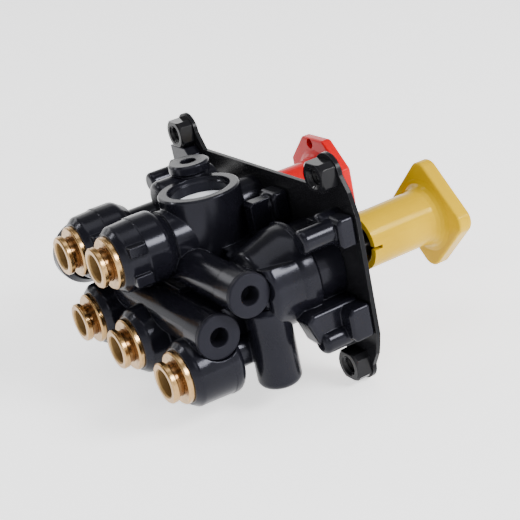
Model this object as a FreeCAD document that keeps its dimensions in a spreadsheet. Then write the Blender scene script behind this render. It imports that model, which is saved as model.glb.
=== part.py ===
"""Dual-circuit push-pull dash control valve, as a parametric document in millimetres.

Frame: +Z up, the knobs point to -Y (towards the driver), the tube ports point to +Y.
Origin: centre of the four panel fixing holes, on the front face of the mounting plate.
"""
import FreeCAD
import Part
import math
import os
import Sketcher

os.makedirs("parts", exist_ok=True)
doc = FreeCAD.newDocument("dash_valve")
sheet = doc.addObject("Spreadsheet::Sheet", "sizes")


class Size:
    """A length held both as a number and as the sheet formula that drives it."""

    def __init__(self, text, value):
        self.text = text
        self.value = value

    @staticmethod
    def of(other):
        if isinstance(other, Size):
            return other
        return Size(repr(float(other)), float(other))

    def _join(self, other, sign, value):
        return Size("(" + self.text + " " + sign + " " + other.text + ")", value)

    def __add__(self, other):
        other = Size.of(other)
        return self._join(other, "+", self.value + other.value)

    def __radd__(self, other):
        return Size.of(other) + self

    def __sub__(self, other):
        other = Size.of(other)
        return self._join(other, "-", self.value - other.value)

    def __rsub__(self, other):
        return Size.of(other) - self

    def __mul__(self, other):
        other = Size.of(other)
        return self._join(other, "*", self.value * other.value)

    def __rmul__(self, other):
        return Size.of(other) * self

    def __truediv__(self, other):
        other = Size.of(other)
        return self._join(other, "/", self.value / other.value)

    def __neg__(self):
        return Size.of(0) - self


class Sizes:
    """The driving dimensions, one attribute for each alias in the sheet."""


DRIVING = [
    ("plate_width", 122.8, "mounting plate, side edge to side edge"),
    ("plate_edge_top", 28.0, "height of the straight top edge above the middle"),
    ("plate_side_half", 21.0, "half height of the straight side edge"),
    ("plate_thick", 1.6, "sheet thickness of the mounting plate"),
    ("panel_hole_across", 98.0, "spacing of the panel nuts along X"),
    ("panel_hole_up", 68.6, "spacing of the panel nuts along Z"),
    ("ear_radius", 6.7, "rounded ear round each panel hole"),
    ("nut_across", 11.2, "width of a panel nut along X"),
    ("nut_up", 9.6, "width of a panel nut along Z"),
    ("nut_corner", 1.7, "flat across each corner of a panel nut"),
    ("nut_height", 5.7, "thickness of a panel nut"),
    ("nut_bore_radius", 3.1, "clearance hole through the plate and its nuts"),
    ("knob_spacing", 68.6, "distance between the two plunger axes"),
    ("barrel_radius", 17.4, "widest part of a plunger barrel"),
    ("barrel_drum_radius", 16.8, "straight lower part of a barrel"),
    ("barrel_front_radius", 15.5, "front part of a barrel"),
    ("barrel_front_end", 11.6, "where the front part of a barrel ends"),
    ("barrel_end", 33.0, "rear dome of a barrel"),
    ("barrel_bore", 11.2, "bore radius of a barrel"),
    ("barrel_bore_end", 22.3, "floor of a barrel bore"),
    ("port_radius", 12.7, "outside of a tube port housing"),
    ("port_face", 62.9, "front face of the tube port housings"),
    ("arm_radius", 10.9, "arm behind a tube port housing"),
    ("port_bore", 7.75, "bore radius for a cartridge"),
    ("port_bore_depth", 13.0, "depth of the cartridge bore"),
    ("tube_seat_radius", 5.0, "bore where the tube end stops"),
    ("tube_seat_depth", 20.0, "depth of the tube stop from the face"),
    ("passage_radius", 3.2, "air passage behind a port"),
    ("flange_radius", 9.4, "cartridge flange"),
    ("flange_thick", 2.0, "cartridge flange thickness"),
    ("collet_ring_radius", 7.25, "release ring of a collet"),
    ("collet_ring_thick", 2.3, "release ring thickness"),
    ("collet_gap", 2.2, "gap between release ring and flange"),
    ("collet_travel", 1.6, "release travel of a collet"),
    ("tube_radius", 4.76, "outside radius of the tube the ports take"),
    ("exhaust_x", 0.4, "exhaust boss centre along X"),
    ("exhaust_y", 24.7, "exhaust boss centre along Y"),
    ("exhaust_top", 27.8, "top of the exhaust boss"),
    ("exhaust_radius", 14.8, "outside of the exhaust boss"),
    ("exhaust_bore", 11.3, "mouth of the exhaust boss"),
    ("exhaust_step", 5.2, "depth of the seat below the boss top"),
    ("side_radius", 7.9, "outside of the two cross bores"),
    ("side_bore", 4.0, "bore radius of the two cross bores"),
    ("side_hole_radius", 3.3, "hole in the end cap of a cross bore"),
    ("side_cap_thick", 1.8, "rim thickness of a cross bore cap"),
    ("check_y", 48.7, "check valve bore along Y"),
    ("check_z", -8.1, "check valve bore along Z"),
    ("check_face", -42.2, "end face of the check valve bore"),
    ("pilot_y", 37.4, "pilot bore along Y"),
    ("pilot_z", 4.0, "pilot bore along Z"),
    ("pilot_face", -47.8, "end face of the pilot bore"),
    ("far_cap_radius", 12.2, "round closed boss on the far side, between the right ports"),
    ("gauge_x", 18.0, "small top port along X"),
    ("gauge_y", 18.3, "small top port along Y"),
    ("gauge_top", 32.5, "top of the small top port"),
    ("gauge_radius", 7.6, "flange of the small top port"),
    ("gauge_bore", 3.0, "bore radius of the small top port"),
    ("tank_x", -41.0, "upright chamber along X"),
    ("tank_y", 29.5, "upright chamber along Y"),
    ("tank_radius", 7.7, "outside of the upright chamber"),
    ("tank_bottom", -33.2, "bottom of the upright chamber"),
    ("tank_top", -4.0, "top of the upright chamber"),
    ("screw_boss_radius", 4.1, "boss round a plate screw"),
    ("screw_radius", 2.1, "shank of a plate screw"),
    ("screw_head_radius", 3.6, "countersunk head of a plate screw"),
    ("sleeve_radius", 10.0, "outside of a knob sleeve"),
    ("sleeve_bore", 7.7, "inside of a knob sleeve"),
    ("sleeve_end", 14.5, "gap from the plate to the sleeve when pulled out"),
    ("head_back", 44.0, "gap from the plate to the back of the knob head"),
    ("diamond_thick", 5.8, "thickness of the diamond head"),
    ("diamond_reach", 21.8, "centre to sharp corner of the diamond head"),
    ("diamond_round", 5.0, "corner radius of the diamond head"),
    ("octagon_flats", 36.4, "width across flats of the octagon head"),
    ("octagon_thick", 4.6, "thickness of the octagon head"),
    ("stem_radius", 5.0, "plunger stem"),
    ("nose_depth", 6.0, "depth of the plunger nose below the back of the knob head"),
    ("nose_length", 8.0, "thin nose of a plunger that the knob screws on to"),
    ("knob_travel", 9.0, "push travel of a knob"),
    ("piston_radius", 11.0, "plunger piston"),
    ("piston_length", 4.6, "length of a piston"),
    ("bush_rear", 4.0, "rear face of a guide bush"),
    ("spring_radius", 8.3, "mean coil radius of a return spring"),
    ("spring_wire", 0.8, "wire of a return spring"),
    ("head_rim", 1.4, "rounding of the front rim of a knob head"),
]

S = Sizes()
sheet.set("A1", "size")
sheet.set("B1", "millimetres")
sheet.set("C1", "meaning")
for number, (alias, value, meaning) in enumerate(DRIVING):
    row = str(number + 2)
    sheet.set("A" + row, alias)
    sheet.set("B" + row, str(value))
    sheet.set("C" + row, meaning)
    sheet.setAlias("B" + row, alias)
    setattr(S, alias, Size("sizes." + alias, value))
doc.recompute()

# The tube ports as the driver sees them from the front: name, x, z and face setback.
PORTS = [
    ("upper_right", 31.6, 10.4, 0.0),
    ("upper_centre", 0.0, 13.6, 0.0),
    ("lower_right", 31.6, -16.6, 0.0),
    ("lower_centre", 0.0, -17.6, 0.0),
    ("lower_left", -31.8, -20.7, 2.0),
]

# Outside radius of the arm that carries each tube port; the lower left one has its own short neck.
ARMS = {
    "upper_right": 7.4,
    "upper_centre": S.arm_radius,
    "lower_right": S.arm_radius,
    "lower_centre": S.arm_radius,
    "lower_left": None,
}

TURN_TO_Y = FreeCAD.Rotation(0, 0, 0, 1)
TURN_TO_MINUS_Y = FreeCAD.Rotation(FreeCAD.Vector(0, 0, 1), 180)
TURN_TO_MINUS_X = FreeCAD.Rotation(FreeCAD.Vector(0, 0, 1), 90)
TURN_TO_Z = FreeCAD.Rotation(FreeCAD.Vector(1, 0, 0), 90)
TURN_Z_TO_Y = FreeCAD.Rotation(FreeCAD.Vector(1, 0, 0), -90)
TURN_Z_TO_X = FreeCAD.Rotation(FreeCAD.Vector(1, 1, 1), 120)

nodes = []


def bind(obj, name, size):
    """Drive one property of an object from the sheet."""
    obj.setExpression(name, Size.of(size).text)


def place(obj, x, y, z, turn=TURN_TO_Y):
    """Put an object at a point given by sheet formulas, turned by a fixed rotation."""
    obj.Placement = FreeCAD.Placement(FreeCAD.Vector(0, 0, 0), turn)
    for axis, size in (("x", x), ("y", y), ("z", z)):
        bind(obj, "Placement.Base." + axis, size)
    return obj


def node(obj, label):
    """Mark an object as one finished piece; the label names its file."""
    obj.Label = label
    nodes.append(obj)
    return obj


def draw(sketch, points, rounds=None):
    """Draw a closed outline driven by the sheet; rounds gives an arc radius for a corner by its number."""
    points = [(Size.of(u), Size.of(v)) for u, v in points]
    count = len(points)
    for i, (u, v) in enumerate(points):
        nu, nv = points[(i + 1) % count]
        start = FreeCAD.Vector(u.value, v.value, 0)
        end = FreeCAD.Vector(nu.value, nv.value, 0)
        sketch.addGeometry(Part.LineSegment(start, end), False)
    for i in range(count):
        sketch.addConstraint(Sketcher.Constraint("Coincident", i, 2, (i + 1) % count, 1))
    for i, (u, v) in enumerate(points):
        for kind, size, axis, tag in (("DistanceX", u, -2, "across"), ("DistanceY", v, -1, "up")):
            if size.text == "0.0":
                sketch.addConstraint(Sketcher.Constraint("PointOnObject", i, 1, axis))
            else:
                index = sketch.addConstraint(Sketcher.Constraint(kind, i, 1, size.value))
                sketch.renameConstraint(index, tag + str(i))
                sketch.setExpression("Constraints." + tag + str(i), size.text)
    for corner, radius in (rounds or {}).items():
        arc = sketch.GeometryCount
        sketch.fillet(corner, 1, radius, True, True)
        sketch.addConstraint(Sketcher.Constraint("Radius", arc, radius))


def plane_of(body, role):
    """One of the body's own origin planes."""
    return [f for f in body.Origin.OriginFeatures if f.Role == role][0]


def body_sketch(body, name, points, role="XY_Plane"):
    """A sketch on one of the body's origin planes."""
    sketch = body.newObject("Sketcher::SketchObject", name)
    sketch.AttachmentSupport = [(plane_of(body, role), "")]
    sketch.MapMode = "FlatFace"
    draw(sketch, points)
    return sketch


def turned(name, points, grooves=()):
    """A body turned about its own Y axis from a half section (radius, distance)."""
    body = doc.addObject("PartDesign::Body", name)
    sketch = body_sketch(body, name + "_section", points)
    turn = body.newObject("PartDesign::Revolution", name + "_turn")
    turn.Profile = sketch
    turn.ReferenceAxis = (sketch, ["V_Axis"])
    turn.Angle = 360.0
    for number, groove_points in enumerate(grooves):
        cut_sketch = body_sketch(body, name + "_groove_section" + str(number), groove_points)
        groove = body.newObject("PartDesign::Groove", name + "_groove" + str(number))
        groove.Profile = cut_sketch
        groove.ReferenceAxis = (cut_sketch, ["V_Axis"])
        groove.Angle = 360.0
    return body


def ring_section(inner, outer, start, end):
    """Half section of a plain ring."""
    return [(inner, start), (outer, start), (outer, end), (inner, end)]


def lathe(name, points, x, y, z, turn=TURN_TO_Y, rounds=None):
    """A turned solid used as one feature of the housing."""
    sketch = doc.addObject("Sketcher::SketchObject", name + "_section")
    draw(sketch, points, rounds)
    solid = doc.addObject("Part::Revolution", name)
    solid.Source = sketch
    solid.Axis = FreeCAD.Vector(0, 1, 0)
    solid.Base = FreeCAD.Vector(0, 0, 0)
    solid.Angle = 360.0
    solid.Solid = True
    return place(solid, x, y, z, turn)


def bar_along(name, points, length, x, y, z, turn, radius=0.0):
    """A straight bar with the given outline, all its edges rounded when a radius is given."""
    sketch = doc.addObject("Sketcher::SketchObject", name + "_outline")
    draw(sketch, points)
    bar = doc.addObject("Part::Extrusion", name)
    bar.Base = sketch
    bar.DirMode = "Custom"
    bar.Dir = FreeCAD.Vector(0, 0, 1)
    bar.Solid = True
    bind(bar, "LengthFwd", length)
    if not radius:
        return place(bar, x, y, z, turn)
    sketch.recompute()
    bar.recompute()
    soft = doc.addObject("Part::Fillet", name + "_soft")
    soft.Base = bar
    soft.Edges = [(i + 1, radius, radius) for i in range(len(bar.Shape.Edges))]
    return place(soft, x, y, z, turn)


def round_bar(name, radius, length, x, y, z, turn=TURN_TO_Y, chamfer=0.0, end_chamfer=0.0):
    """A bar from (x, y, z) along the turned Y axis with optional chamfers."""
    radius = Size.of(radius)
    length = Size.of(length)
    points = [(0, 0), (radius, 0)] if not chamfer else [(0, 0), (radius - chamfer, 0), (radius, chamfer)]
    if end_chamfer:
        points += [(radius, length - end_chamfer), (radius - end_chamfer, length), (0, length)]
    else:
        points += [(radius, length), (0, length)]
    return lathe(name, points, x, y, z, turn)


def block(name, x, y, z, length, width, height):
    """A box from its lowest corner."""
    box = doc.addObject("Part::Box", name)
    bind(box, "Length", length)
    bind(box, "Width", width)
    bind(box, "Height", height)
    return place(box, x, y, z)


def prism(name, flats, height, x, y, z, turn):
    """A hexagonal bar along the turned Z axis."""
    bar = doc.addObject("Part::Prism", name)
    bar.Polygon = 6
    bind(bar, "Circumradius", Size.of(flats) / math.sqrt(3))
    bind(bar, "Height", height)
    return place(bar, x, y, z, turn)


def fuse(name, pieces):
    joined = doc.addObject("Part::MultiFuse", name)
    joined.Shapes = pieces
    return joined


def cut(name, base, tools):
    """Take a list of tool solids away from a base solid."""
    tool = tools[0] if len(tools) == 1 else fuse(name + "_tools", tools)
    result = doc.addObject("Part::Cut", name)
    result.Base = base
    result.Tool = tool
    return result


def together(label, pieces):
    """Identical pieces kept as separate solids in one node."""
    group = doc.addObject("Part::Compound", label)
    group.Links = pieces
    return node(group, label)


SIDES = [("park", -1.0), ("trailer", 1.0)]


def plunger_x(side):
    return S.knob_spacing / 2 * side


# Housing: barrels, port housings, bosses and webs in one moulding.
solids = []
hollows = []
for tag, side in SIDES:
    x = plunger_x(side)
    solids.append(lathe("barrel_" + tag, [
        (0, S.plate_thick),
        (S.barrel_front_radius, S.plate_thick),
        (S.barrel_front_radius, S.barrel_front_end),
        (S.barrel_radius, S.barrel_front_end + 1.0),
        (S.barrel_radius, S.barrel_end - 15.8),
        (S.barrel_radius - 3.0, S.barrel_end - 6.6),
        (S.barrel_radius - 4.2, S.barrel_end - 2.0),
        (S.barrel_radius - 8.0, S.barrel_end),
        (0, S.barrel_end),
    ], x, 0, 0, rounds={3: 0.8, 4: 12.0, 5: 10.0, 6: 3.0, 7: 2.0}))
    drum = lathe("barrel_drum_" + tag, [
        (0, S.barrel_front_end + 0.6), (S.barrel_drum_radius, S.barrel_front_end + 0.6),
        (S.barrel_drum_radius, S.barrel_end - 2.0), (0, S.barrel_end - 2.0),
    ], x, 0, 0, rounds={2: 3.0})
    low_half = block("barrel_low_half_" + tag, x - 20.0, S.barrel_front_end, -20.0, 40.0, 24.0, 29.6)
    side_drum = doc.addObject("Part::MultiCommon", "barrel_side_" + tag)
    side_drum.Shapes = [drum, low_half]
    solids.append(side_drum)
    bead = lathe("barrel_bead_" + tag, [
        (S.barrel_radius - 2.0, 12.8), (S.barrel_radius + 0.7, 13.4), (S.barrel_radius + 0.7, 14.6),
        (S.barrel_radius - 0.2, 15.2), (S.barrel_radius - 2.0, 15.2),
    ], x, 0, 0, FreeCAD.Rotation(FreeCAD.Vector(0, 1, 0), -132 if side < 0 else -112))
    bead.Angle = 64.0
    solids.append(bead)
    hollows.append(round_bar("barrel_bore_" + tag, S.barrel_bore, S.barrel_bore_end + 1.0, x, -1.0, 0))

for tag, x, z, setback in PORTS:
    face = S.port_face - setback
    if tag == "lower_left":
        solids.append(lathe("port_cup_" + tag, [
            (0, -19.2),
            (S.port_radius - 0.2, -19.2),
            (S.port_radius - 0.2, -14.6),
            (S.port_radius - 0.4, -14.4),
            (S.port_radius - 0.8, -2.2),
            (S.port_radius - 2.5, 0),
            (0, 0),
        ], x, face, z, rounds={1: 3.4, 4: 2.0, 5: 0.5}))
    else:
        solids.append(lathe("port_cup_" + tag, [
            (0, -21.6),
            (S.port_radius - 3.0, -21.6),
            (S.port_radius, -17.4),
            (S.port_radius, -9.4),
            (S.port_radius - 0.3, -9.2),
            (S.port_radius - 0.7, -2.2),
            (S.port_radius - 2.5, 0),
            (0, 0),
        ], x, face, z, rounds={1: 1.5, 2: 3.5, 5: 2.0, 6: 0.5}))
    arm = ARMS[tag]
    if arm:
        solids.append(round_bar("port_arm_" + tag, arm, face - 21.0 - 25.0, x, 25.0, z))
    if tag.startswith("upper"):
        for rib, rise in (("high", 3.4), ("low", -7.2)):
            solids.append(block("port_" + rib + "_rib_" + tag, x - S.port_radius - 0.6,
                                face - 8.6, z + rise, 5.0, 6.2, 3.6))
    hollows.append(lathe("port_bore_" + tag, [
        (0, -27.0),
        (S.passage_radius, -27.0),
        (S.passage_radius, -S.tube_seat_depth),
        (S.tube_seat_radius, -S.tube_seat_depth),
        (S.tube_seat_radius, -S.port_bore_depth),
        (S.port_bore, -S.port_bore_depth),
        (S.port_bore, 1.0),
        (0, 1.0),
    ], x, face, z))

solids.append(lathe("exhaust_boss", [
    (0, 0),
    (S.exhaust_radius, 0),
    (S.exhaust_radius, S.exhaust_top + 6.0 - 0.5),
    (S.exhaust_radius - 0.5, S.exhaust_top + 6.0),
    (0, S.exhaust_top + 6.0),
], S.exhaust_x, S.exhaust_y, -6.0, TURN_TO_Z))
seat = S.exhaust_top - S.exhaust_step - 1.5
hollows.append(lathe("exhaust_mouth", [
    (0, seat),
    (S.exhaust_bore - 0.6, seat),
    (S.exhaust_bore - 0.6, S.exhaust_top - 2.0),
    (S.exhaust_bore, S.exhaust_top - 1.4),
    (S.exhaust_bore, S.exhaust_top + 1.0),
    (0, S.exhaust_top + 1.0),
], S.exhaust_x, S.exhaust_y, 0, TURN_TO_Z))
hollows.append(round_bar("exhaust_chamber", 7.0, seat - 3.1 - 8.0,
                         S.exhaust_x, S.exhaust_y, 8.0, TURN_TO_Z))
hollows.append(round_bar("exhaust_stem_hole", 1.75, 6.0, S.exhaust_x, S.exhaust_y, seat - 4.0, TURN_TO_Z))
for number in range(6):
    angle = math.radians(60 * number + 30)
    hollows.append(round_bar("exhaust_hole" + str(number), 1.5, 6.0,
                             S.exhaust_x + 4.6 * math.cos(angle), S.exhaust_y + 4.6 * math.sin(angle),
                             seat - 4.0, TURN_TO_Z))

CROSS_BORES = [
    ("check", 44.5, -10.6, S.check_face, S.check_y, S.check_z, S.side_radius),
    ("pilot", 6.0, -6.0, S.pilot_face, S.pilot_y, S.pilot_z, S.side_radius - 0.25),
]
for tag, far_end, floor, face, y, z, radius in CROSS_BORES:
    length = far_end - face - S.side_cap_thick
    solids.append(lathe(tag + "_barrel", [
        (0, 0),
        (radius - 1.5, 0),
        (radius - 0.5, 1.0),
        (radius - 0.5, length - 9.6),
        (radius, length - 9.2),
        (radius, length),
        (0, length),
    ], far_end, y, z, TURN_TO_MINUS_X))
    hollows.append(round_bar(tag + "_bore", S.side_bore, floor - face, floor, y, z, TURN_TO_MINUS_X))
    hollows.append(round_bar(tag + "_cap_room", radius + 0.1, 20.0,
                             face + S.side_cap_thick, y, z, TURN_TO_MINUS_X))

solids.append(lathe("far_cap", [
    (0, 0), (S.far_cap_radius, 0), (S.far_cap_radius, 5.6), (S.far_cap_radius - 2.4, 9.0), (0, 9.0),
], 53.0, 54.2, 2.8, TURN_TO_MINUS_X, {1: 2.0, 2: 1.5, 3: 1.0}))
solids.append(lathe("gauge_boss", [
    (0, 0),
    (S.gauge_radius - 1.4, 0),
    (S.gauge_radius - 1.4, S.gauge_top - 3.0 - 4.0),
    (S.gauge_radius, S.gauge_top - 3.0 - 3.2),
    (S.gauge_radius, S.gauge_top - 3.0 - 0.6),
    (S.gauge_radius - 0.6, S.gauge_top - 3.0),
    (0, S.gauge_top - 3.0),
], S.gauge_x, S.gauge_y, 3.0, TURN_TO_Z))
solids.append(lathe("gauge_arm", [(0, 0), (6.4, 0), (6.4, 24.0), (0, 24.0)],
                    S.gauge_x, 10.0, 22.6, rounds={2: 2.6}))
solids.append(round_bar("gauge_stem", 5.0, 14.0, S.gauge_x, S.plate_thick, 15.0))
hollows.append(round_bar("gauge_hole", S.gauge_bore, 15.0, S.gauge_x, S.gauge_y,
                         S.gauge_top - 14.0, TURN_TO_Z))

tank_height = S.tank_top - S.tank_bottom
solids.append(lathe("tank", [
    (0, 0),
    (S.tank_radius, 0),
    (S.tank_radius, tank_height - 1.6),
    (S.tank_radius - 1.6, tank_height),
    (0, tank_height),
], S.tank_x, S.tank_y, S.tank_bottom, TURN_TO_Z, {1: 2.6, 2: 1.2, 3: 0.8}))
hollows.append(round_bar("tank_bore", 4.2, tank_height - 9.0,
                         S.tank_x, S.tank_y, S.tank_bottom + 3.0, TURN_TO_Z))
solids.append(round_bar("tank_link", 6.2, 16.0, -33.0, 28.0, -19.6))
hollows.append(round_bar("tank_link_bore", 1.8, 13.0, -34.5, 30.0, -19.6))

solids.append(block("manifold", -12.0, 24.0, -26.0, 56.0, 22.0, 26.0))
solids.append(block("front_web", -20.0, S.plate_thick, -9.0, 40.0, 26.0, 18.0))
solids.append(block("rear_web", -36.0, 27.0, -8.0, 78.0, 18.0, 6.0))
solids.append(block("cross_web", -35.0, 30.0, -17.0, 23.0, 12.0, 15.0))
solids.append(round_bar("shoulder", 8.4, 13.0, 3.0, S.plate_thick, 16.0, TURN_TO_Y, 0.0, 3.0))
hollows.append(round_bar("supply_gallery", 2.6, 42.0, 32.0, 44.0, -17.0, TURN_TO_MINUS_X))
hollows.append(round_bar("check_feed", 1.5, 9.0, -9.6, 46.0, -17.0, TURN_TO_Z))

# Plate screws: x and z of each, how far back its boss reaches, and the boss's form.
SCREWS = [
    (-54.4, 17.3, 20.0, "nose"),
    (-51.4, -15.8, 21.4, "slab"),
    (-15.0, 18.6, 9.2, "stub"),
    (54.4, 17.3, 20.0, "nose"),
    (51.4, -15.8, 21.4, "slab"),
    (16.0, -18.0, 15.6, "nose"),
]
# Side view of a slab boss: distance from the plate's front and height above its screw.
SLAB_SIDE = [
    (1.6, 7.6), (20.2, 7.4), (22.4, 5.2), (19.2, -3.6), (16.6, -6.8), (1.6, -7.6),
]
for number, (x, z, reach, form) in enumerate(SCREWS):
    name = "screw_boss" + str(number)
    length = reach - S.plate_thick
    inward = 1.0 if x < 0 else -1.0
    if form == "slab":
        solids.append(bar_along(name, SLAB_SIDE, 9.8, x - 3.6 if x < 0 else x - 6.2, 0, z, TURN_Z_TO_X, 1.6))
        solids.append(lathe(name + "_roll", [(0, 0), (4.0, 0), (4.0, 17.4), (0, 17.4)],
                            x - inward * 2.4, S.plate_thick, z - 3.8, rounds={2: 2.4}))
        solids.append(bar_along(name + "_pad", [
            (0, -6.0), (7.0, -6.0), (8.4, -4.0), (8.4, 4.0), (7.0, 6.0), (0, 6.0),
        ], 11.0, x - inward * 4.0 - 5.5, S.plate_thick, z + 0.6, TURN_Z_TO_X, 1.2))
    else:
        solids.append(lathe(name, [
            (0, 0), (S.screw_boss_radius, 0), (S.screw_boss_radius, length), (0, length),
        ], x, S.plate_thick, z, rounds={2: 1.6}))
        solids.append(bar_along(name + "_pad", [
            (0, -5.2), (5.2, -5.2), (6.4, -3.6), (6.4, 3.6), (5.2, 5.2), (0, 5.2),
        ], 10.0, x - inward - 5.0, S.plate_thick, z - 0.6, TURN_Z_TO_X, 1.2))
    if form == "nose":
        solids.append(lathe(name + "_bump", [(0, 0), (3.2, 0), (3.2, 8.8), (0, 8.8)],
                            x + 3.4 * inward, S.plate_thick, z + (2.4 if z > 0 else -2.4), rounds={2: 1.8}))
    hollows.append(round_bar(name + "_hole", S.screw_radius + 0.05, min(12.0, reach - 1.8),
                             x, S.plate_thick - 1.0, z))
solids.append(bar_along("middle_web", [
    (1.6, -6.0), (15.8, -6.0), (15.8, 5.0), (14.6, 6.2), (1.6, 6.2),
], 5.0, -18.4, 0, 15.6, TURN_Z_TO_X))
solids.append(bar_along("ledge", [
    (43.2, -29.2), (54.8, -29.2), (54.8, -20.0), (38.4, -20.0), (40.6, -26.6),
], 5.6, 0, S.plate_thick, 0, TURN_Z_TO_Y))
WEBS = [
    ("upper_left", -52.0, 12.0, 14.0, 5.5, 6.0),
    ("upper_right", 38.0, 12.0, 14.0, 5.5, 6.0),
    ("lower_left", -50.0, -18.0, 14.0, 9.0, 14.0),
    ("lower_right", 36.0, -18.0, 14.0, 9.0, 14.0),
    ("middle_left", -19.0, 4.0, 10.0, 13.0, 8.0),
    ("middle_right", 8.0, -18.0, 12.0, 12.0, 12.0),
]
for tag, x, z, across, up, reach in WEBS:
    solids.append(block("web_" + tag, x, S.plate_thick, z, across, reach - S.plate_thick, up))

housing = cut("valve_body", fuse("housing_solids", solids), hollows)
housing.Refine = True
node(housing, "valve_body")

# Mounting plate with rounded ears.
plate = doc.addObject("PartDesign::Body", "plate_sheet")
half = S.plate_width / 2
ear_x = S.panel_hole_across / 2
ear_z = S.panel_hole_up / 2
quarter = [
    (half, S.plate_side_half),
    (half - 1.1, S.plate_side_half + 4.0),
    (half - 2.4, S.plate_side_half + 8.0),
    (ear_x + S.ear_radius, ear_z),
    (ear_x - S.ear_radius, ear_z),
    (ear_x - S.ear_radius - 4.2, S.plate_edge_top),
]
outline = list(quarter)
outline += [(-u, v) for u, v in reversed(quarter)]
outline += [(-u, -v) for u, v in quarter]
outline += [(u, -v) for u, v in reversed(quarter)]
plate_sketch = body_sketch(plate, "plate_outline", outline, "XZ_Plane")
plate_pad = plate.newObject("PartDesign::Pad", "plate_pad")
plate_pad.Profile = plate_sketch
bind(plate_pad, "Length", S.plate_thick)
plate_pad.Reversed = True
ears = []
plate_holes = []
for number, (sx, sz) in enumerate(((1, 1), (-1, 1), (-1, -1), (1, -1))):
    ears.append(round_bar("ear" + str(number), S.ear_radius, S.plate_thick, ear_x * sx, 0, ear_z * sz))
    plate_holes.append(round_bar("ear_hole" + str(number), S.nut_bore_radius, S.plate_thick + 2.0,
                                 ear_x * sx, -1.0, ear_z * sz))
sink = S.screw_head_radius - S.screw_radius
for number, (x, z, reach, form) in enumerate(SCREWS):
    plate_holes.append(lathe("plate_screw_hole" + str(number), [
        (0, -1.0),
        (S.screw_head_radius + 0.1, -1.0),
        (S.screw_head_radius + 0.1, 0.05),
        (S.screw_radius + 0.1, sink + 0.05),
        (S.screw_radius + 0.1, S.plate_thick + 1.0),
        (0, S.plate_thick + 1.0),
    ], x, 0, z))
for tag, side in SIDES:
    plate_holes.append(round_bar("plate_bore_" + tag, 9.2, S.plate_thick + 2.0, plunger_x(side), -1.0, 0))
node(cut("mounting_plate", fuse("plate_blank", [plate] + ears), plate_holes), "mounting_plate")

# Panel nuts behind the ears: blocks with flattened corners and a turned rear face.
nut_x = S.nut_across / 2
nut_z = S.nut_up / 2
flat = S.nut_corner
NUT_OUTLINE = [
    (nut_x, nut_z - flat), (nut_x - flat, nut_z), (flat - nut_x, nut_z), (-nut_x, nut_z - flat),
    (-nut_x, flat - nut_z), (flat - nut_x, -nut_z), (nut_x - flat, -nut_z), (nut_x, flat - nut_z),
]
nuts = []
for number, (sx, sz) in enumerate(((1, 1), (-1, 1), (-1, -1), (1, -1))):
    name = "panel_nut" + str(number)
    outline = doc.addObject("Sketcher::SketchObject", name + "_outline")
    draw(outline, NUT_OUTLINE)
    blank = doc.addObject("Part::Extrusion", name + "_blank")
    blank.Base = outline
    blank.DirMode = "Custom"
    blank.Dir = FreeCAD.Vector(0, 0, 1)
    blank.Solid = True
    bind(blank, "LengthFwd", S.nut_height)
    place(blank, ear_x * sx, S.plate_thick, ear_z * sz, TURN_Z_TO_Y)
    rounding = lathe(name + "_rounding", [
        (0, -0.5),
        (nut_x + 1.6, -0.5),
        (nut_x + 1.6, S.nut_height - 1.5),
        (nut_x - 0.2, S.nut_height),
        (0, S.nut_height),
    ], ear_x * sx, S.plate_thick, ear_z * sz)
    body = doc.addObject("Part::MultiCommon", name + "_body")
    body.Shapes = [blank, rounding]
    hole = lathe(name + "_bore", [
        (0, -1.0),
        (S.nut_bore_radius, -1.0),
        (S.nut_bore_radius, S.nut_height - 0.7),
        (S.nut_bore_radius + 0.8, S.nut_height + 0.1),
        (0, S.nut_height + 0.1),
    ], ear_x * sx, S.plate_thick, ear_z * sz)
    nuts.append(cut(name, body, [hole]))
together("panel_nuts", nuts)

# Plate screws, driven from the front and sunk flush with the plate.
screws = []
for number, (x, z, reach, form) in enumerate(SCREWS):
    name = "plate_screw" + str(number)
    reach_in = min(10.6, reach - 2.4)
    blank = lathe(name + "_blank", [
        (0, 0.05),
        (S.screw_head_radius, 0.05),
        (S.screw_radius, sink + 0.05),
        (S.screw_radius, reach_in),
        (S.screw_radius - 1.0, reach_in + 1.0),
        (0, reach_in + 1.0),
    ], x, 0, z)
    socket = prism(name + "_socket", S.screw_head_radius, 1.8, x, -0.4, z, TURN_Z_TO_Y)
    screws.append(cut(name, blank, [socket]))
together("plate_screws", screws)

# Exhaust diaphragm: a pale flap held by its stem in the seat.
diaphragm = turned("diaphragm", [
    (0, 0),
    (1.6, 0),
    (2.3, 0.6),
    (2.3, 1.4),
    (1.65, 1.6),
    (1.65, 4.75),
    (S.exhaust_bore - 0.9, 4.75),
    (S.exhaust_bore - 0.65, 5.0),
    (S.exhaust_bore - 0.65, 5.9),
    (S.exhaust_bore - 0.9, 6.1),
    (0, 6.15),
])
place(diaphragm, S.exhaust_x, S.exhaust_y, seat - 4.72, TURN_TO_Z)
node(diaphragm, "exhaust_diaphragm")

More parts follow.
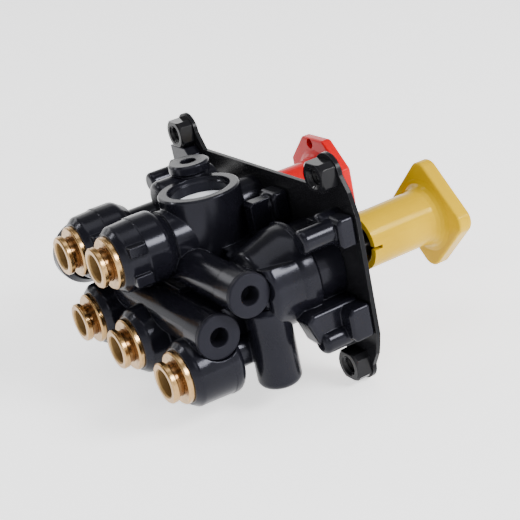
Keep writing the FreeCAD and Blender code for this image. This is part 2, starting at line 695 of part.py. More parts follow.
# Push-in tube connections.
cartridge_in = 9.5
for tag, x, z, setback in PORTS:
    face = S.port_face - setback
    length = S.flange_thick + cartridge_in
    cartridge = turned("cartridge_" + tag, [
        (S.port_bore - 1.1, 0),
        (S.port_bore - 0.45, 0),
        (S.port_bore - 0.05, 0.4),
        (S.port_bore - 0.05, cartridge_in),
        (S.flange_radius, cartridge_in),
        (S.flange_radius, length - 0.5),
        (S.flange_radius - 0.5, length),
        (S.tube_radius + 1.35, length),
        (S.tube_radius + 1.35, 6.0),
        (S.port_bore - 1.1, 3.6),
    ])
    node(place(cartridge, x, face - cartridge_in, z), "cartridge_" + tag)

    inner = S.tube_radius + 0.1
    ring_start = length + S.collet_gap
    collet_end = ring_start + S.collet_ring_thick
    collet = turned("collet_" + tag, [
        (inner, 1.9),
        (inner + 1.1, 1.9),
        (inner + 1.55, 2.4),
        (inner + 1.55, 3.2),
        (inner + 1.1, 4.4),
        (inner + 1.1, ring_start),
        (S.collet_ring_radius - 0.4, ring_start),
        (S.collet_ring_radius, ring_start + 0.4),
        (S.collet_ring_radius, collet_end - 0.5),
        (S.collet_ring_radius - 0.5, collet_end),
        (inner + 0.5, collet_end),
        (inner, collet_end - 0.6),
    ])
    node(place(collet, x, face - cartridge_in, z), "collet_" + tag)

    seal = doc.addObject("Part::Torus", "tube_seal_" + tag)
    bind(seal, "Radius1", (S.port_bore + S.tube_radius) / 2)
    bind(seal, "Radius2", (S.port_bore - S.tube_radius) / 2 - 0.04)
    place(seal, x, face - S.port_bore_depth + 1.7, z, TURN_TO_Z)
    node(seal, "tube_seal_" + tag)

    support = turned("tube_support_" + tag, [
        (2.7, 0),
        (S.tube_seat_radius - 0.05, 0),
        (S.tube_seat_radius - 0.05, 1.0),
        (3.3, 1.0),
        (3.3, 10.6),
        (3.0, 11.0),
        (2.7, 11.0),
    ])
    node(place(support, x, face - S.tube_seat_depth, z), "tube_support_" + tag)

# Covers of the two cross bores and the shuttle of the check valve.
for tag, far_end, floor, face, y, z, radius in CROSS_BORES:
    spigot = 7.0
    rim_end = spigot + S.side_cap_thick - 0.05
    cap = turned(tag + "_cover", [
        (0, 0),
        (S.side_bore - 0.45, 0),
        (S.side_bore - 0.05, 0.4),
        (S.side_bore - 0.05, spigot),
        (radius, spigot),
        (radius, rim_end - 0.4),
        (radius - 0.4, rim_end),
        (S.side_hole_radius + 0.3, rim_end),
        (S.side_hole_radius, rim_end - 0.3),
        (S.side_hole_radius, rim_end - 7.0),
        (0, rim_end - 7.0),
    ])
    node(place(cap, face + rim_end, y, z, TURN_TO_MINUS_X), tag + "_bore_cap")
groove = S.side_bore - 1.6
shuttle = turned("shuttle", [
    (0, 0),
    (S.side_bore - 1.0, 0),
    (S.side_bore - 0.1, 0.9),
    (S.side_bore - 0.1, 3.0),
    (groove, 3.6),
    (groove, 5.0),
    (S.side_bore - 0.1, 5.6),
    (S.side_bore - 0.1, 7.7),
    (S.side_bore - 1.0, 8.6),
    (0, 8.6),
])
node(place(shuttle, -14.0, S.check_y, S.check_z, TURN_TO_MINUS_X), "check_shuttle")

# Plungers, their knobs, seals, springs and guide bushes.
for tag, side in SIDES:
    x = plunger_x(side)
    bush = turned("guide_bush_" + tag, [
        (S.stem_radius + 0.08, 0),
        (8.2, 0),
        (8.8, 0.6),
        (8.8, S.plate_thick + 2.0),
        (S.barrel_bore - 0.05, S.plate_thick + 2.0),
        (S.barrel_bore - 0.05, S.bush_rear + 2.0),
        (S.stem_radius + 0.08, S.bush_rear + 2.0),
    ], [ring_section(S.stem_radius - 0.5, S.stem_radius + 1.7, 2.4, 4.4)])
    node(place(bush, x, -2.0, 0), "guide_bush_" + tag)
    seal = doc.addObject("Part::Torus", "stem_seal_" + tag)
    bind(seal, "Radius1", S.stem_radius + 0.9)
    bind(seal, "Radius2", 0.8)
    node(place(seal, x, 1.4, 0, TURN_TO_Z), "stem_seal_" + tag)

    start = S.head_back - S.nose_depth
    plunger = turned("plunger_" + tag, [
        (0, 0),
        (S.stem_radius - 1.0, 0),
        (S.stem_radius - 1.0, S.nose_length + 0.05),
        (S.stem_radius, S.nose_length + 1.05),
        (S.stem_radius, start + S.bush_rear),
        (S.piston_radius - 0.6, start + S.bush_rear),
        (S.piston_radius, start + S.bush_rear + 0.6),
        (S.piston_radius, start + S.bush_rear + S.piston_length),
        (6.0, start + S.bush_rear + S.piston_length),
        (6.0, start + S.bush_rear + S.piston_length + 1.8),
        (0, start + S.bush_rear + S.piston_length + 1.8),
    ], [ring_section(S.piston_radius - 1.9, S.piston_radius + 1.0,
                     start + S.bush_rear + 1.1, start + S.bush_rear + 3.5)])
    node(place(plunger, x, -start, 0), "plunger_" + tag)
    ring = doc.addObject("Part::Torus", "piston_seal_" + tag)
    bind(ring, "Radius1", S.barrel_bore - 1.02)
    bind(ring, "Radius2", 0.98)
    node(place(ring, x, S.bush_rear + 2.3, 0, TURN_TO_Z), "piston_seal_" + tag)

    spring = doc.addObject("PartDesign::Body", "spring_coil_" + tag)
    wire = spring.newObject("Sketcher::SketchObject", "spring_wire_" + tag)
    wire.AttachmentSupport = [(plane_of(spring, "XY_Plane"), "")]
    wire.MapMode = "FlatFace"
    centre = FreeCAD.Vector(S.spring_radius.value, S.spring_wire.value / 2, 0)
    wire.addGeometry(Part.Circle(centre, FreeCAD.Vector(0, 0, 1), S.spring_wire.value / 2), False)
    for kind, size, word in (("DistanceX", S.spring_radius, "coil"), ("DistanceY", S.spring_wire / 2, "lift")):
        index = wire.addConstraint(Sketcher.Constraint(kind, 0, 3, size.value))
        wire.renameConstraint(index, word)
        wire.setExpression("Constraints." + word, size.text)
    index = wire.addConstraint(Sketcher.Constraint("Radius", 0, S.spring_wire.value / 2))
    wire.renameConstraint(index, "wire")
    wire.setExpression("Constraints.wire", (S.spring_wire / 2).text)
    rear = S.bush_rear + S.piston_length + 0.05
    coil = spring.newObject("PartDesign::AdditiveHelix", "spring_helix_" + tag)
    coil.Profile = wire
    coil.ReferenceAxis = (wire, ["V_Axis"])
    coil.Mode = 0
    height = S.barrel_bore_end - 0.05 - rear - S.spring_wire
    bind(coil, "Height", height)
    bind(coil, "Pitch", height / 4)
    coil.Angle = 0
    coil.Growth = 0
    node(place(spring, x, rear, 0), "return_spring_" + tag)

# Knob heads: a diamond for the parking knob, an octagon for the trailer supply knob.
reach = S.diamond_reach
apothem = S.octagon_flats / 2
corner = apothem * math.tan(math.radians(22.5))
HEADS = {
    "park": [(reach, 0), (0, reach), (-reach, 0), (0, -reach)],
    "trailer": [
        (apothem, corner), (corner, apothem), (-corner, apothem), (-apothem, corner),
        (-apothem, -corner), (-corner, -apothem), (corner, -apothem), (apothem, -corner),
    ],
}
ROUNDS = {"park": S.diamond_round, "trailer": Size.of(2.0)}
THICK = {"park": S.diamond_thick, "trailer": S.octagon_thick}


def edges_along_y(shape):
    """Names of the straight edges parallel to the knob axis."""
    names = []
    for i, edge in enumerate(shape.Edges):
        a, b = edge.Vertexes[0].Point, edge.Vertexes[-1].Point
        if abs(a.x - b.x) + abs(a.z - b.z) < 1e-6 and abs(a.y - b.y) > 1:
            names.append("Edge" + str(i + 1))
    return names


def edges_in_plane(shape, y):
    """Names of the edges that lie in one plane square to the knob axis."""
    names = []
    for i, edge in enumerate(shape.Edges):
        box = edge.BoundBox
        if abs(box.YMin - y) < 1e-5 and abs(box.YMax - y) < 1e-5:
            names.append("Edge" + str(i + 1))
    return names


for tag, side in SIDES:
    x = plunger_x(side)
    knob = doc.addObject("PartDesign::Body", "knob_body_" + tag)
    outline = body_sketch(knob, "head_outline_" + tag, HEADS[tag], "XZ_Plane")
    head = knob.newObject("PartDesign::Pad", "head_" + tag)
    head.Profile = outline
    bind(head, "Length", THICK[tag])
    doc.recompute()
    corners = knob.newObject("PartDesign::Fillet", "head_corners_" + tag)
    corners.Base = (head, edges_along_y(head.Shape))
    bind(corners, "Radius", ROUNDS[tag])
    doc.recompute()
    rim = knob.newObject("PartDesign::Fillet", "head_rim_" + tag)
    rim.Base = (corners, edges_in_plane(corners.Shape, -THICK[tag].value))
    bind(rim, "Radius", S.head_rim)
    doc.recompute()
    back = knob.newObject("PartDesign::Fillet", "head_back_rim_" + tag)
    back.Base = (rim, edges_in_plane(rim.Shape, 0.0))
    bind(back, "Radius", S.head_rim * 0.6)
    sleeve_length = S.head_back - S.sleeve_end
    section = body_sketch(knob, "sleeve_section_" + tag, [
        (0, -1.0),
        (S.sleeve_radius + 3.4, -1.0),
        (S.sleeve_radius + 3.4, 0.05),
        (S.sleeve_radius + 2.0, 0.5),
        (S.sleeve_radius + 1.0, 1.5),
        (S.sleeve_radius + 0.4, 3.0),
        (S.sleeve_radius + 0.1, 5.0),
        (S.sleeve_radius, sleeve_length),
        (S.sleeve_bore, sleeve_length),
        (S.sleeve_bore, S.nose_depth + S.nose_length),
        (S.stem_radius - 0.95, S.nose_depth + S.nose_length),
        (S.stem_radius - 0.95, S.nose_depth - 0.05),
        (0, S.nose_depth - 0.05),
    ])
    sleeve = knob.newObject("PartDesign::Revolution", "sleeve_" + tag)
    sleeve.Profile = section
    sleeve.ReferenceAxis = (section, ["V_Axis"])
    sleeve.Angle = 360.0
    slot = block("sleeve_slot_" + tag, x - S.sleeve_radius - 1.0, -S.sleeve_end - 3.2, -0.6, 4.5, 4.0, 1.2)
    tools = [slot]
    if tag == "trailer":
        tools.append(round_bar("head_notch", 2.0, 2.5, x + 1.9, -S.head_back - 1.5, 15.9))
    place(knob, x, -S.head_back, 0)
    node(cut("finished_knob_" + tag, knob, tools), "knob_" + tag)

doc.recompute()

failed = []
for obj in doc.Objects:
    if "Invalid" in obj.State or "Error" in obj.State:
        failed.append(obj.Name + " " + str(obj.State))
for obj in nodes:
    if obj.Shape.isNull() or not obj.Shape.isValid():
        failed.append(obj.Name + " has a bad shape")
print("objects", len(doc.Objects), "nodes", len(nodes), "failed", failed)
for obj in nodes:
    box = obj.Shape.BoundBox
    print("%-28s %3d solids  x %.1f %.1f  y %.1f %.1f  z %.1f %.1f" % (
        obj.Label, len(obj.Shape.Solids), box.XMin, box.XMax, box.YMin, box.YMax, box.ZMin, box.ZMax))
if failed:
    raise SystemExit("the model did not build")
for obj in nodes:
    obj.Shape.exportStep("parts/" + obj.Label + ".step")
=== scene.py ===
"""Dash control valve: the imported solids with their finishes, the studio and the camera."""
import math

import bmesh
import bpy
from mathutils import Matrix, Vector


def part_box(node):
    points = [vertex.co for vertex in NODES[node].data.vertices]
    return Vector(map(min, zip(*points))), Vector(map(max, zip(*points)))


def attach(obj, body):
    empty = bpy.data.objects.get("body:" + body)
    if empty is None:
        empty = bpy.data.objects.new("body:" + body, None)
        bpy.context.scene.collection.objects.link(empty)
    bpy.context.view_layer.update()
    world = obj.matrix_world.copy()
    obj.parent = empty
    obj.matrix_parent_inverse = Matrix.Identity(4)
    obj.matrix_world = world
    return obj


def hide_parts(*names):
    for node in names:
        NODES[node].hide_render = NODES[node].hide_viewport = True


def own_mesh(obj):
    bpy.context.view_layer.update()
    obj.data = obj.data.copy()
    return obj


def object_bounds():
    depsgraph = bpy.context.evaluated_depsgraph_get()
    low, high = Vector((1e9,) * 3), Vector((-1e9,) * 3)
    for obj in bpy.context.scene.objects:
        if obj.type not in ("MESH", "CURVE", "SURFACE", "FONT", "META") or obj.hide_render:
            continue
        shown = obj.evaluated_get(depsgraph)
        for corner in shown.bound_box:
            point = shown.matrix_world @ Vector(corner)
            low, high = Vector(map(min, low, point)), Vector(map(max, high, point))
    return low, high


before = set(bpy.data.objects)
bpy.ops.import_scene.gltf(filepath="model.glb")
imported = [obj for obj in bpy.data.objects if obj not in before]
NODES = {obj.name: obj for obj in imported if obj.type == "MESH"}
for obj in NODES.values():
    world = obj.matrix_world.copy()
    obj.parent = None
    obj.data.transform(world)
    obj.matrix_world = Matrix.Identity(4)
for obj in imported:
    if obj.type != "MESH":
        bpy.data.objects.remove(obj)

cad_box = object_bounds()
MM = 0.001
WHITE = (1.0, 1.0, 1.0)

# Camera fitted to the photograph, in the frame of the CAD.
AZIMUTH = math.radians(243.075)
ELEVATION = math.radians(21.584)
ROLL = math.radians(-11.945)
TARGET = Vector((-55.029, 35.0, 17.555)) * MM
DISTANCE = 387.029 * MM
FOCAL_PIXELS = 1237.536
FRAME_PIXELS = 520
SENSOR = 36.0
NEAR, FAR = 0.01, 50.0

# Finishes: patterns in waves per metre, and how the sharp edges are found.
TONE, PATCHES, SMEARS, SCUFFS = 55.0, 420.0, 28.0, 900.0
METAL_TONE = 140.0
METAL_EDGE, MARK_DEPTH = 0.3 * MM, 0.012 * MM
EDGE_SEEN, EDGE_FULL = 0.98, 0.80          # cosines between the plain and the softened normal

# Collets, as the CAD has them, and how softly their dull bore and the painted shade in their groove
# end on the brass.
BORE_EDGE, BORE_BLUR = 5.15 * MM, 0.2 * MM         # just outside a collet's bore
NECK_EDGE, NECK_BLUR = 6.2 * MM, 0.3 * MM          # just outside its neck
RING_THICK, RING_BLUR = 2.3 * MM, 0.1 * MM         # its release ring
BORE_METALLIC, BORE_DULL = 0.6, 0.25

# Return springs.
SPRING_RADIUS = 8.3 * MM
SPRING_WIRE = 0.8 * MM
SPRING_TURNS = 6
SPRING_CLOSE = 0.11            # how much the end turns close up

# Threads of the panel nuts.
NUT_ACROSS, NUT_UP = 98.0 * MM, 68.6 * MM
NUT_BORE = 3.1 * MM
THREAD_PITCH = 1.25 * MM
THREAD_DEPTH = 0.4 * MM
THREAD_TURNS = 3.5
THREAD_END, THREAD_GROWTH = 0.15, 2.5      # share of the depth at an end, and more per turn
THREAD_INSET = 0.1 * MM        # from the nut's end to the first turn
THREAD_SINK = 0.02 * MM        # how far the foot sits in the wall of the bore
THREAD_FOOT, THREAD_CREST = 0.48, 0.06     # half widths, in pitches

# Studio.
FLOOR_HALF = 6.0
FLOOR_DROP = 0.5 * MM          # below the part
FLOOR_TONES = ((0.86, 0.86, 0.87), (0.9, 0.9, 0.905))
FLOOR_GLOW = 1.3
WALL_GLOW, CEILING_GLOW = 1.9, 0.35
WALL_TOP, CEILING_START = 0.2, 0.42        # heights of the direction, as sines
SOFT_BOXES = [
    # name, direction, distance, size, radiance
    ("key", (-0.83, -0.42, 0.58), 1.1, (0.45, 0.3), 40.0),
    ("top", (-0.05, 0.05, 1.0), 1.2, (0.9, 0.8), 2.4),
    ("glint", (0.48, 0.56, 0.68), 1.2, (0.16, 0.1), 36.0),
    ("back", (0.83, -0.42, 0.42), 1.4, (1.5, 0.8), 0.9),
    ("fill", (-0.75, 0.62, 0.6), 1.2, (0.5, 0.4), 3.0),
    ("sheen", (0.83, 0.22, 0.5), 1.3, (0.5, 0.3), 4.2),
]


def link(name, data):
    """A new object in the scene."""
    made = bpy.data.objects.new(name, data)
    bpy.context.scene.collection.objects.link(made)
    return made


def make_camera():
    """The camera at the photograph's viewing angle."""
    data = bpy.data.cameras.new("camera")
    data.sensor_width = SENSOR
    data.sensor_fit = "HORIZONTAL"
    data.lens = FOCAL_PIXELS / FRAME_PIXELS * SENSOR
    data.clip_start, data.clip_end = NEAR, FAR
    camera = link("camera", data)
    back = Vector((math.sin(AZIMUTH) * math.cos(ELEVATION),
                   -math.cos(AZIMUTH) * math.cos(ELEVATION), math.sin(ELEVATION)))
    right = (-back).cross(Vector((0, 0, 1))).normalized()
    up = right.cross(-back).normalized()
    turned_right = math.cos(ROLL) * right + math.sin(ROLL) * up
    turned_up = -math.sin(ROLL) * right + math.cos(ROLL) * up
    axes = Matrix((turned_right, turned_up, back)).transposed().to_4x4()
    camera.matrix_world = Matrix.Translation(TARGET + back * DISTANCE) @ axes
    bpy.context.scene.camera = camera


class Shader:
    """A node material built up step by step."""

    def __init__(self, name, metallic=0.0, specular=0.5, tint=WHITE):
        self.material = bpy.data.materials.new(name)
        self.material.use_nodes = True
        self.tree = self.material.node_tree
        self.principled = self.tree.nodes["Principled BSDF"]
        self.principled.inputs["Metallic"].default_value = metallic
        self.principled.inputs["Specular IOR Level"].default_value = specular
        self.principled.inputs["Specular Tint"].default_value = tint + (1.0,)
        self.where = self.add("ShaderNodeTexCoord").outputs["Object"]

    def add(self, kind, **settings):
        made = self.tree.nodes.new(kind)
        for key, value in settings.items():
            setattr(made, key, value)
        return made

    def join(self, a, b):
        self.tree.links.new(a, b)

    def noise(self, scale, detail=3.0, roughness=0.55, stretch=None):
        """Noise over the object; the scale is in waves per metre."""
        made = self.add("ShaderNodeTexNoise")
        made.inputs["Scale"].default_value = scale
        made.inputs["Detail"].default_value = detail
        made.inputs["Roughness"].default_value = roughness
        source = self.where
        if stretch:
            mapping = self.add("ShaderNodeMapping")
            mapping.inputs["Scale"].default_value = stretch
            self.join(source, mapping.inputs["Vector"])
            source = mapping.outputs["Vector"]
        self.join(source, made.inputs["Vector"])
        return made.outputs["Fac"]

    def ramp(self, source, low, high, start, end):
        """A value that goes from start to end while the source goes from low to high."""
        made = self.add("ShaderNodeMapRange")
        made.inputs["From Min"].default_value = low
        made.inputs["From Max"].default_value = high
        made.inputs["To Min"].default_value = start
        made.inputs["To Max"].default_value = end
        self.join(source, made.inputs["Value"])
        return made.outputs["Result"]

    def mix(self, factor, a, b):
        """Mix two colours; each is a colour or a socket."""
        made = self.add("ShaderNodeMix", data_type="RGBA")
        self.join(factor, made.inputs["Factor"])
        for socket, value in ((made.inputs[6], a), (made.inputs[7], b)):
            if isinstance(value, tuple):
                socket.default_value = value + (1.0,)
            else:
                self.join(value, socket)
        return made.outputs[2]

    def maths(self, operation, a, b):
        """A sum or product; each side is a number or a socket."""
        made = self.add("ShaderNodeMath", operation=operation)
        for socket, value in ((made.inputs[0], a), (made.inputs[1], b)):
            if isinstance(value, float):
                socket.default_value = value
            else:
                self.join(value, socket)
        return made.outputs["Value"]

    def vector(self, operation, a, b=None):
        """A step of vector maths on a socket; b is a constant."""
        made = self.add("ShaderNodeVectorMath", operation=operation)
        self.join(a, made.inputs[0])
        if b is not None:
            made.inputs[1].default_value = b
        return made.outputs["Value" if operation == "LENGTH" else "Vector"]

    def edges(self, radius):
        """Softened normals, and a mask of the sharp edges found with them."""
        bevel = self.add("ShaderNodeBevel")
        bevel.samples = 6
        bevel.inputs["Radius"].default_value = radius
        plain = self.add("ShaderNodeNewGeometry")
        dot = self.add("ShaderNodeVectorMath", operation="DOT_PRODUCT")
        self.join(bevel.outputs["Normal"], dot.inputs[0])
        self.join(plain.outputs["Normal"], dot.inputs[1])
        mask = self.ramp(dot.outputs["Value"], EDGE_SEEN, EDGE_FULL, 0.0, 1.0)
        return bevel.outputs["Normal"], mask

    def bump(self, height, strength, distance, normal=None):
        made = self.add("ShaderNodeBump")
        made.inputs["Strength"].default_value = strength
        made.inputs["Distance"].default_value = distance
        self.join(height, made.inputs["Height"])
        if normal is not None:
            self.join(normal, made.inputs["Normal"])
        return made.outputs["Normal"]

    def finish(self, colour, roughness, normal):
        self.join(colour, self.principled.inputs["Base Color"])
        self.join(roughness, self.principled.inputs["Roughness"])
        self.join(normal, self.principled.inputs["Normal"])
        return self.material


def moulded(name, dark, light, rubbed_and_highlit_edge, rough, grain=2600.0, grain_depth=MARK_DEPTH, specular=0.5,
            rubbed_and_highlit_share=0.5, soft_edge=0.4 * MM, tint=WHITE):
    """Moulded plastic or rubber: uneven tone, fine grain, sharp edges lightened partly as rubbing
    and partly as painted highlight, and faint scuffs.
    """
    s = Shader(name, specular=specular, tint=tint)
    tone = s.ramp(s.noise(TONE, 4.0), 0.3, 0.7, 0.0, 1.0)
    colour = s.mix(tone, dark, light)
    normal, edge_mask = s.edges(soft_edge)
    patches = s.ramp(s.noise(PATCHES, 5.0, 0.65), 0.45, 0.7, 0.2, 1.0)
    # Sharp edges lightened in patches: partly rubbing, partly painted highlight along the edges.
    rubbed_and_highlit = s.maths("MULTIPLY", edge_mask, s.maths("MULTIPLY", patches, rubbed_and_highlit_share))
    colour = s.mix(rubbed_and_highlit, colour, rubbed_and_highlit_edge)
    smear = s.ramp(s.noise(SMEARS, 6.0, 0.7, (1.0, 2.2, 1.4)), 0.35, 0.7, *rough)
    scuff = s.ramp(s.noise(SCUFFS, 3.0, 0.6, (0.25, 1.0, 1.6)), 0.62, 0.78, 0.0, 0.04)
    height = s.maths("ADD", s.noise(grain, 2.0), s.noise(grain * 0.21, 3.0))
    return s.finish(colour, s.maths("ADD", smear, scuff), s.bump(height, 0.25, grain_depth, normal))


def metal(name, dark, light, rubbed_and_highlit_edge, rough, brush=(1.0, 1.0, 1.0), scale=700.0, metallic=1.0,
          rubbed_and_highlit_share=0.6, dull_bore_and_groove_shade=None):
    """Machined or coated metal: turning marks, sharp edges lightened partly as rubbing and partly
    as painted highlight, and, if given, a dull bore with painted shade in a groove.
    """
    s = Shader(name, metallic=metallic)
    tone = s.ramp(s.noise(METAL_TONE, 5.0, 0.6), 0.35, 0.68, 0.0, 1.0)
    colour = s.mix(tone, dark, light)
    normal, edge_mask = s.edges(METAL_EDGE)
    # Sharp edges lightened: partly rubbing, partly painted highlight along the edges.
    colour = s.mix(s.maths("MULTIPLY", edge_mask, rubbed_and_highlit_share), colour, rubbed_and_highlit_edge)
    marks = s.noise(scale, 4.0, 0.6, brush)
    roughness = s.ramp(marks, 0.3, 0.7, *rough)
    if dull_bore_and_groove_shade:
        colour, roughness = dull_bore_and_groove_shade(s, colour, roughness)
    height = s.maths("ADD", marks, s.noise(scale * 3.0, 2.0, 0.5, brush))
    return s.finish(colour, roughness, s.bump(height, 0.3, MARK_DEPTH, normal))


COOL = (0.85, 0.86, 1.0)
BRASS = {"dark": (0.36, 0.215, 0.085), "light": (0.5, 0.315, 0.14), "rubbed_and_highlit_edge": (0.8, 0.58, 0.34),
         "rough": (0.18, 0.3), "brush": (1.0, 12.0, 1.0), "scale": 500.0, "rubbed_and_highlit_share": 0.5}
# Painted shade: dark brown for the groove behind a collet's release ring, where shade falls.
GROOVE_PAINTED_SHADE = (0.16, 0.085, 0.035)
BORE_BRASS = (0.27, 0.165, 0.06)

FINISHES = {
    "body": moulded("body_plastic", (0.003, 0.003, 0.0045), (0.006, 0.006, 0.009),
                    (0.03, 0.03, 0.038), rough=(0.15, 0.25), grain=1500.0, grain_depth=0.04 * MM,
                    specular=0.18, soft_edge=0.7 * MM, tint=COOL),
    "cap": moulded("cap_plastic", (0.007, 0.007, 0.01), (0.011, 0.011, 0.015),
                   (0.04, 0.04, 0.05), rough=(0.34, 0.46), specular=0.1, tint=COOL),
    # The plate's pale colour at its edges paints thin bright highlights along them, besides
    # rubbing.
    "plate": moulded("plate_finish", (0.006, 0.006, 0.007), (0.01, 0.01, 0.0115),
                     (0.25, 0.25, 0.27), rough=(0.16, 0.3), grain=1500.0, specular=0.07,
                     rubbed_and_highlit_share=0.35, soft_edge=0.3 * MM),
    "nut": moulded("nut_finish", (0.006, 0.006, 0.007), (0.011, 0.011, 0.0125),
                   (0.12, 0.12, 0.13), rough=(0.1, 0.2), specular=0.14, rubbed_and_highlit_share=0.3),
    "screw": metal("screw_finish", (0.04, 0.04, 0.042), (0.07, 0.07, 0.074), (0.4, 0.4, 0.42),
                   rough=(0.25, 0.4), metallic=0.7),
    "brass": metal("brass", **BRASS),
    "white": moulded("diaphragm_rubber", (0.78, 0.8, 0.86), (0.88, 0.9, 0.95),
                     (0.93, 0.94, 0.98), rough=(0.4, 0.55), rubbed_and_highlit_share=0.3),
    "seal": moulded("seal_rubber", (0.01, 0.01, 0.011), (0.02, 0.02, 0.021),
                    (0.04, 0.04, 0.042), rough=(0.45, 0.6)),
    "shuttle": moulded("shuttle_plastic", (0.5, 0.5, 0.48), (0.6, 0.6, 0.57),
                       (0.66, 0.66, 0.62), rough=(0.35, 0.5)),
    "bush": moulded("bush_plastic", (0.02, 0.02, 0.022), (0.03, 0.03, 0.033),
                    (0.07, 0.07, 0.075), rough=(0.35, 0.5)),
    # Painted shade: the plunger is coloured dark all over for the shade inside the knob's tube.
    "plunger": metal("plunger_metal", (0.05, 0.05, 0.052), (0.09, 0.09, 0.092),
                     (0.3, 0.3, 0.31), rough=(0.22, 0.36), brush=(1.0, 14.0, 1.0)),
    "spring": metal("spring_steel", (0.3, 0.3, 0.32), (0.5, 0.5, 0.52), (0.7, 0.7, 0.7),
                    rough=(0.2, 0.35)),
    "yellow": moulded("knob_yellow", (0.49, 0.295, 0.0), (0.56, 0.345, 0.0), (0.66, 0.44, 0.003),
                      rough=(0.13, 0.22), grain_depth=0.006 * MM, rubbed_and_highlit_share=0.4, specular=0.16,
                      tint=(1.0, 0.8, 0.3)),
    "red": moulded("knob_red", (0.46, 0.0, 0.003), (0.53, 0.001, 0.006), (0.66, 0.02, 0.02),
                   rough=(0.13, 0.22), grain_depth=0.006 * MM, rubbed_and_highlit_share=0.4, specular=0.16,
                   tint=(1.0, 0.5, 0.5)),
}

# The finish of each node, by the start of its name.
FINISH_OF = {
    "valve_body": "body", "mounting_plate": "plate", "panel_nuts": "nut", "plate_screws": "screw",
    "exhaust_diaphragm": "white", "cartridge_": "brass", "tube_seal_": "seal",
    "tube_support_": "shuttle", "check_bore_cap": "cap", "pilot_bore_cap": "cap",
    "check_shuttle": "shuttle", "guide_bush_": "bush", "stem_seal_": "seal",
    "plunger_": "plunger", "piston_seal_": "seal", "return_spring_": "spring",
    "knob_park": "yellow", "knob_trailer": "red",
}


def collet_brass(node):
    """Brass of one collet: a dull drilled bore, and painted shade in the groove behind the release
    ring.
    """
    low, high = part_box(node)
    ring_start = ((low.x + high.x) / 2, high.y - RING_THICK, (low.z + high.z) / 2)

    def dull_bore_and_groove_shade(s, colour, roughness):
        offset = s.vector("SUBTRACT", s.where, ring_start)
        radius = s.vector("LENGTH", s.vector("MULTIPLY", offset, (1.0, 0.0, 1.0)))
        along = s.add("ShaderNodeSeparateXYZ")
        s.join(offset, along.inputs["Vector"])
        bore = s.ramp(radius, BORE_EDGE, BORE_EDGE + BORE_BLUR, 1.0, 0.0)
        behind = s.ramp(along.outputs["Y"], -RING_BLUR, 0.0, 1.0, 0.0)
        inside = s.ramp(radius, NECK_EDGE, NECK_EDGE + NECK_BLUR, 1.0, 0.0)
        outside = s.ramp(radius, BORE_EDGE, BORE_EDGE + BORE_BLUR, 0.0, 1.0)
        # Painted shade: the groove behind the release ring, outside the bore and inside the neck,
        # is darkened.
        groove = s.maths("MULTIPLY", behind, s.maths("MULTIPLY", inside, outside))
        colour = s.mix(bore, s.mix(groove, colour, GROOVE_PAINTED_SHADE), BORE_BRASS)
        s.join(s.ramp(bore, 0.0, 1.0, 1.0, BORE_METALLIC), s.principled.inputs["Metallic"])
        return colour, s.maths("ADD", roughness, s.maths("MULTIPLY", bore, BORE_DULL))

    return metal(node + "_brass", dull_bore_and_groove_shade=dull_bore_and_groove_shade, **BRASS)


def dress():
    """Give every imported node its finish."""
    for name, obj in NODES.items():
        if name.startswith("collet_"):
            material = collet_brass(name)
        else:
            key = next(key for start, key in FINISH_OF.items() if name.startswith(start))
            material = FINISHES[key]
        if not obj.material_slots:
            obj.data.materials.append(material)
        for place in obj.material_slots:
            place.material = material


def wind(name, rings, material):
    """A closed skin over rings of points that follow a coil; it rides on the housing."""
    bm = bmesh.new()
    loops = [[bm.verts.new(point) for point in ring] for ring in rings]
    count = len(loops[0])
    for one, two in zip(loops, loops[1:]):
        for k in range(count):
            after = (k + 1) % count
            bm.faces.new((one[k], one[after], two[after], two[k]))
    bm.faces.new(loops[0])
    bm.faces.new(list(reversed(loops[-1])))
    bmesh.ops.recalc_face_normals(bm, faces=bm.faces)
    for face in bm.faces:
        face.smooth = count > 4
    mesh = bpy.data.meshes.new(name)
    bm.to_mesh(mesh)
    bm.free()
    piece = link(name, mesh)
    mesh.materials.append(material)
    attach(piece, "root")
    return piece


def out_at(angle):
    """Outwards from an axis along Y."""
    return Vector((math.cos(angle), 0.0, math.sin(angle)))


def make_spring(side):
    """A return spring with closed ends."""
    node = "return_spring_" + side
    low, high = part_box(node)
    centre = (low + high) / 2
    steps, around = 260, 10
    start, travel = low.y + SPRING_WIRE / 2, high.y - low.y - SPRING_WIRE
    rings = []
    for i in range(steps + 1):
        share = i / steps
        rise = share - SPRING_CLOSE * math.sin(2 * math.pi * share)
        out = out_at(2 * math.pi * SPRING_TURNS * share)
        middle = Vector((centre.x, start + travel * rise, centre.z)) + out * SPRING_RADIUS
        rings.append([middle + (out * math.cos(t) + Vector((0, math.sin(t), 0))) * SPRING_WIRE / 2
                      for t in (2 * math.pi * k / around for k in range(around))])
    spring = wind("spring_wire_" + side, rings, FINISHES["spring"])
    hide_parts(node)
    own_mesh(spring)


def make_thread(name, x, z):
    """The thread in the bore of one panel nut; its ridge fades out at both ends."""
    around = 40
    steps = int(THREAD_TURNS * around)
    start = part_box("panel_nuts")[0].y + THREAD_PITCH / 2 + THREAD_INSET
    foot_half = Vector((0, THREAD_FOOT * THREAD_PITCH, 0))
    crest_half = Vector((0, THREAD_CREST * THREAD_PITCH, 0))
    rings = []
    for i in range(steps + 1):
        out = out_at(2 * math.pi * i / around)
        turns_left = min(i, steps - i) / around
        depth = THREAD_DEPTH * min(1.0, THREAD_END + THREAD_GROWTH * turns_left)
        middle = Vector((x, start + THREAD_PITCH * i / around, z))
        foot = middle + out * (NUT_BORE + THREAD_SINK)
        crest = middle + out * (NUT_BORE - depth)
        rings.append([foot - foot_half, crest - crest_half, crest + crest_half, foot + foot_half])
    wind(name, rings, FINISHES["nut"])


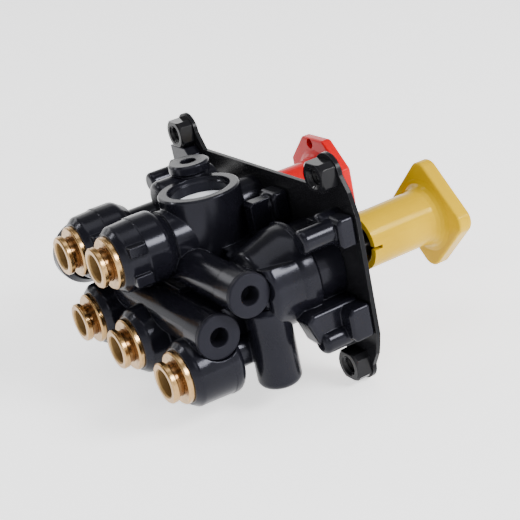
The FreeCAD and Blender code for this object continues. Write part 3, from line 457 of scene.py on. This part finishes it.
def make_floor():
    """A plain pale floor that runs far out of view."""
    mesh = bpy.data.meshes.new("floor")
    level = cad_box[0][2] - FLOOR_DROP
    corners = ((-1, -1), (1, -1), (1, 1), (-1, 1))
    mesh.from_pydata([(x * FLOOR_HALF, y * FLOOR_HALF, level) for x, y in corners],
                     [], [(0, 1, 2, 3)])
    s = Shader("floor_paper", specular=0.2)
    colour = s.mix(s.noise(6.0, 3.0), *FLOOR_TONES)
    rough = s.ramp(s.noise(40.0, 3.0), 0.3, 0.7, 0.7, 0.85)
    s.principled.inputs["Emission Color"].default_value = WHITE + (1.0,)
    s.principled.inputs["Emission Strength"].default_value = FLOOR_GLOW
    mesh.materials.append(s.finish(colour, rough, s.bump(s.noise(900.0), 0.1, 0.05 * MM)))
    link("floor", mesh)


def softbox(name, direction, distance, size, radiance):
    """A soft rectangular light that faces the object; its radiance is that of its surface."""
    data = bpy.data.lights.new(name, "AREA")
    data.shape = "RECTANGLE"
    data.size, data.size_y = size
    data.energy = radiance * size[0] * size[1] * math.pi
    light = link(name, data)
    light.location = Vector(direction).normalized() * distance
    light.rotation_euler = light.location.to_track_quat("Z", "Y").to_euler()


def make_studio():
    """Pale walls round the horizon under a dimmer ceiling, with soft boxes."""
    world = bpy.data.worlds.new("studio")
    world.use_nodes = True
    nodes, links = world.node_tree.nodes, world.node_tree.links
    background = nodes["Background"]
    background.inputs["Color"].default_value = WHITE + (1.0,)
    height = nodes.new("ShaderNodeSeparateXYZ")
    links.new(nodes.new("ShaderNodeTexCoord").outputs["Generated"], height.inputs["Vector"])
    glow = nodes.new("ShaderNodeMapRange")
    glow.interpolation_type = "SMOOTHSTEP"
    glow.inputs["From Min"].default_value = WALL_TOP
    glow.inputs["From Max"].default_value = CEILING_START
    glow.inputs["To Min"].default_value = WALL_GLOW
    glow.inputs["To Max"].default_value = CEILING_GLOW
    links.new(height.outputs["Z"], glow.inputs["Value"])
    links.new(glow.outputs["Result"], background.inputs["Strength"])
    bpy.context.scene.world = world
    for box in SOFT_BOXES:
        softbox(*box)


make_camera()
dress()
make_spring("park")
make_spring("trailer")
for number, (right, up) in enumerate(((-1, -1), (-1, 1), (1, -1), (1, 1)), 1):
    make_thread("nut_thread_" + str(number), right * NUT_ACROSS / 2, up * NUT_UP / 2)
make_floor()
make_studio()
